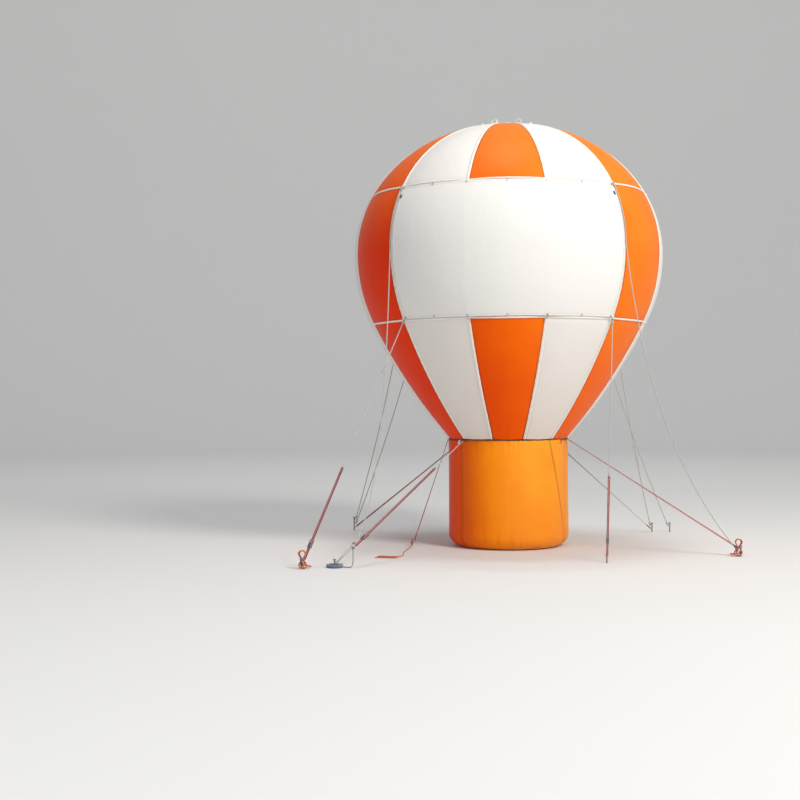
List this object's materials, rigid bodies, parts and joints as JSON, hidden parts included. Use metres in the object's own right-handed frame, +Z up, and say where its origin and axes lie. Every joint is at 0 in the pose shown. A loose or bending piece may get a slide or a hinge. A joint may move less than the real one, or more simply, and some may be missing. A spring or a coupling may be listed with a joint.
{
  "type": "cold-air advertising balloon",
  "caption": "Inflated hot-air-balloon-shaped advertising balloon on a round inflated base, with blank banners, guy stays, ground stakes and a blower.",
  "frame": {"origin": "centre of the base's underside, on the ground", "axes": "+Z up, -Y towards the front banner, +X to the right of somebody who faces the front banner"},
  "size_m": [5.793, 5.1185, 6.1526],
  "materials": {
    "orange_cloth": "coated cloth with a satin sheen",
    "white_cloth": "coated cloth with a satin sheen",
    "white_tape": "woven tape",
    "banner_cloth": "smooth coated banner cloth",
    "dark_webbing": "woven webbing",
    "red_webbing": "woven webbing",
    "white_webbing": "woven webbing",
    "grey_rope": "twisted rope",
    "orange_rope": "twisted rope",
    "blue_rope": "twisted rope",
    "stake_steel": "galvanised and scuffed",
    "blower_plastic": "moulded, fine texture",
    "blower_steel": "powder coat",
    "guard_wire": "plated wire",
    "motor_steel": "painted",
    "fan_plastic": "moulded"
  },
  "bodies": {
    "body": {"gore_01": "orange_cloth", "gore_02": "white_cloth", "gore_03": "orange_cloth", "gore_04": "white_cloth", "gore_05": "orange_cloth", "gore_06": "white_cloth", "gore_07": "orange_cloth", "gore_08": "white_cloth", "gore_09": "orange_cloth", "gore_10": "white_cloth", "gore_11": "orange_cloth", "gore_12": "white_cloth", "crown_patch": "white_cloth", "seam_tapes": "white_tape", "banner_front": "banner_cloth", "banner_back": "banner_cloth", "base_wall": "orange_cloth", "base_floor": "orange_cloth", "neck_band": "dark_webbing", "stay_upper_front_left": "grey_rope", "stay_upper_front_right": "grey_rope", "stay_upper_back_right": "grey_rope", "stay_upper_back_left": "grey_rope", "stay_lower_front_left": "grey_rope", "stay_lower_front_right": "grey_rope", "stay_lower_back_right": "grey_rope", "stay_lower_back_left": "grey_rope", "stay_neck_front_left": "grey_rope", "stay_neck_left": "red_webbing", "stay_neck_right": "red_webbing", "stay_neck_back_right": "red_webbing", "stay_neck_back_left": "red_webbing", "strap_lower_front_left": "red_webbing", "strap_lower_front_right": "red_webbing", "strap_neck_front_left": "red_webbing", "sling_front_left": "white_webbing", "tail_front_left": "orange_rope", "tail_front_left_inner": "blue_rope", "tail_left": "orange_rope", "tail_right": "orange_rope", "hank_front_left": "orange_rope", "hank_right": "orange_rope", "coil_front_left_inner": "blue_rope", "stake_front_left": "stake_steel", "stake_front_left_inner": "stake_steel", "stake_left": "stake_steel", "stake_front_right": "stake_steel", "stake_right": "stake_steel", "stake_back_right": "stake_steel", "stake_back_right_inner": "stake_steel", "stake_back_left": "stake_steel", "blower_housing": "blower_plastic", "blower_stand": "blower_steel", "blower_inlet_guard": "guard_wire", "blower_motor": "motor_steel", "blower_handle": "blower_plastic", "air_sleeve": "orange_cloth", "sleeve_strap": "dark_webbing"},
    "impeller": {"blower_impeller": "fan_plastic"}
  },
  "joints": [
    {"name": "impeller_spin", "type": "hinge", "parent": "body", "child": "impeller", "pos_m": [0, 1.48, 0.235], "axis": [1, 0, 0], "continuous": true}
  ]
}
